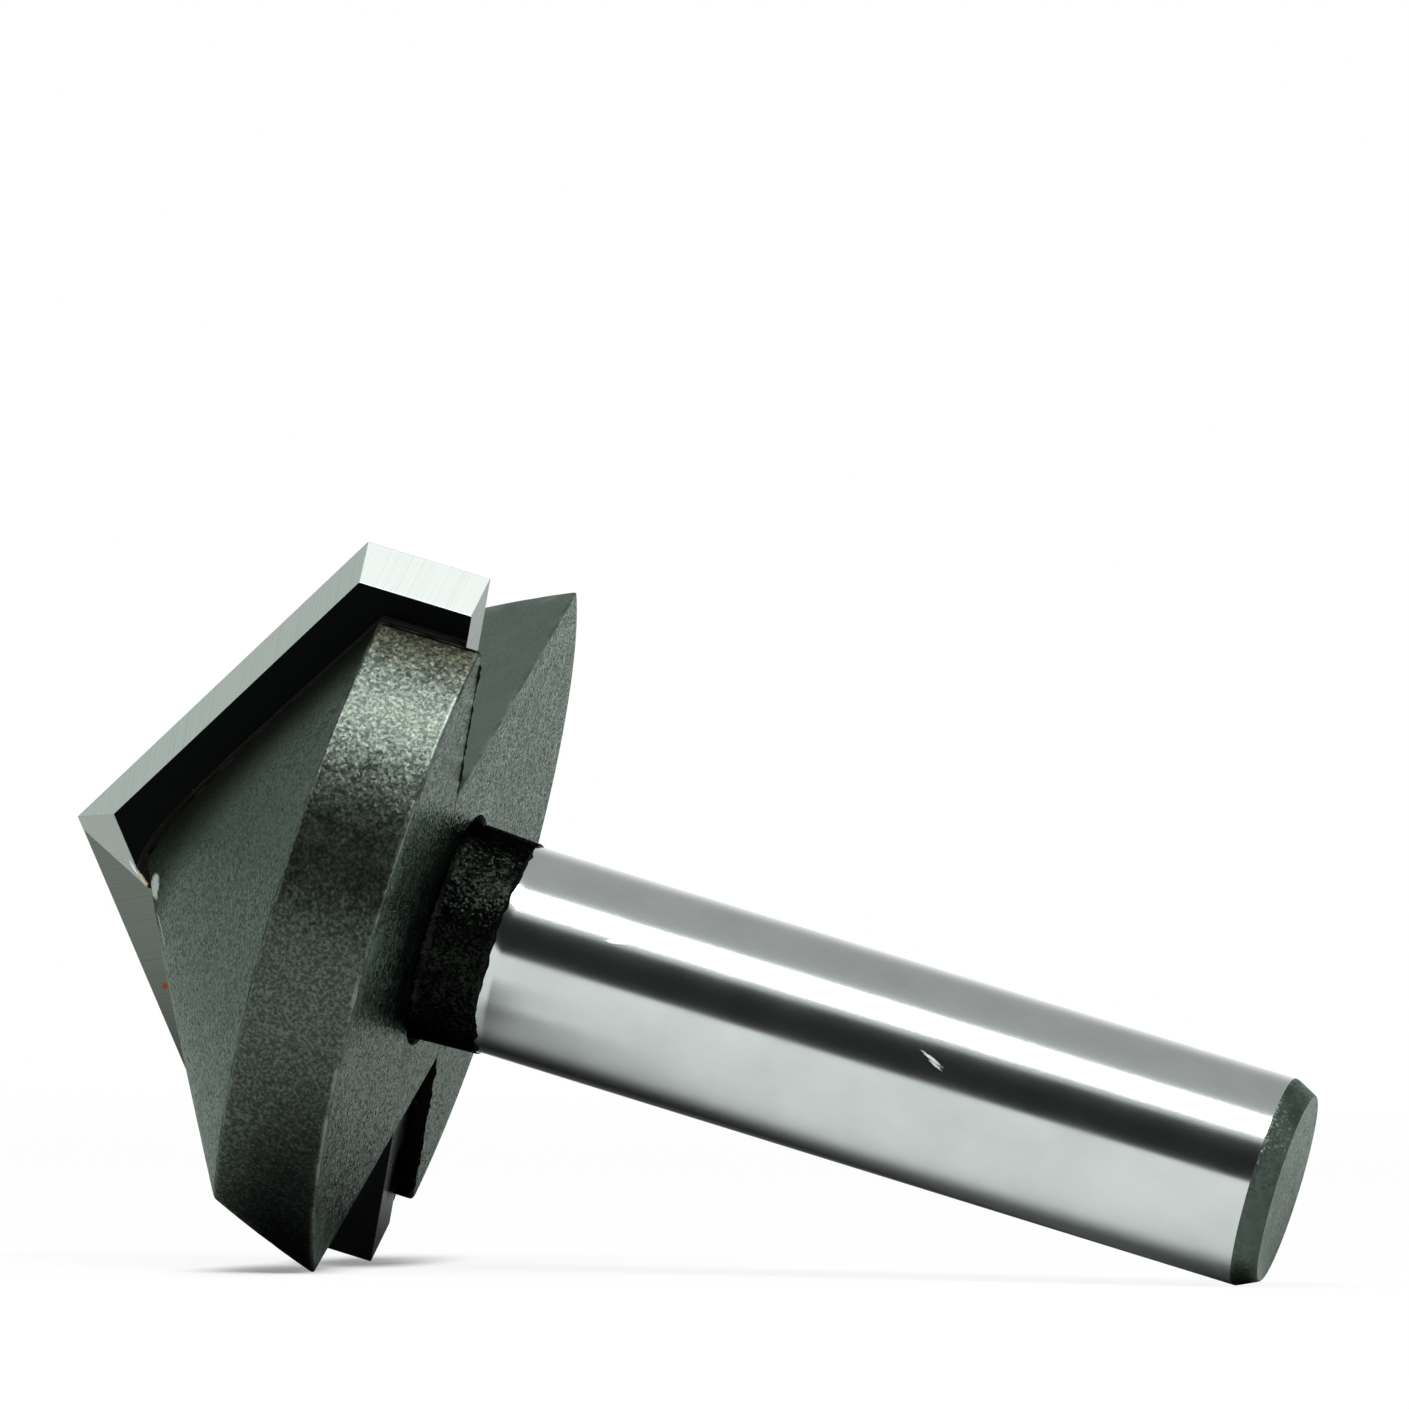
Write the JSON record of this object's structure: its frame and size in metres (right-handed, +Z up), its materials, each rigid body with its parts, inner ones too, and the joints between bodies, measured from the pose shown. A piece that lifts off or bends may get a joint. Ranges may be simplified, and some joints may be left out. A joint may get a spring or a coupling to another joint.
{
  "type": "chamfer milling cutter",
  "caption": "Straight-shank V-groove and chamfer milling cutter with brazed carbide tips, lying on its side as it rests.",
  "frame": {"origin": "middle of the cutter's footprint on the table it lies on", "axes": "+X along the cutter from its point towards its shank, +Z up from the table, +Y completes a right-handed frame"},
  "size_m": [0.047, 0.0294, 0.0271],
  "materials": {
    "tool_steel": "ground shank, turned and blasted head",
    "tungsten_carbide": "diamond ground",
    "silver_braze": "tarnished"
  },
  "bodies": {
    "root": {"cutter_body": "tool_steel", "carbide_tip_1": "tungsten_carbide", "carbide_tip_2": "tungsten_carbide", "braze_seam_1": "silver_braze", "braze_seam_2": "silver_braze"}
  },
  "joints": []
}
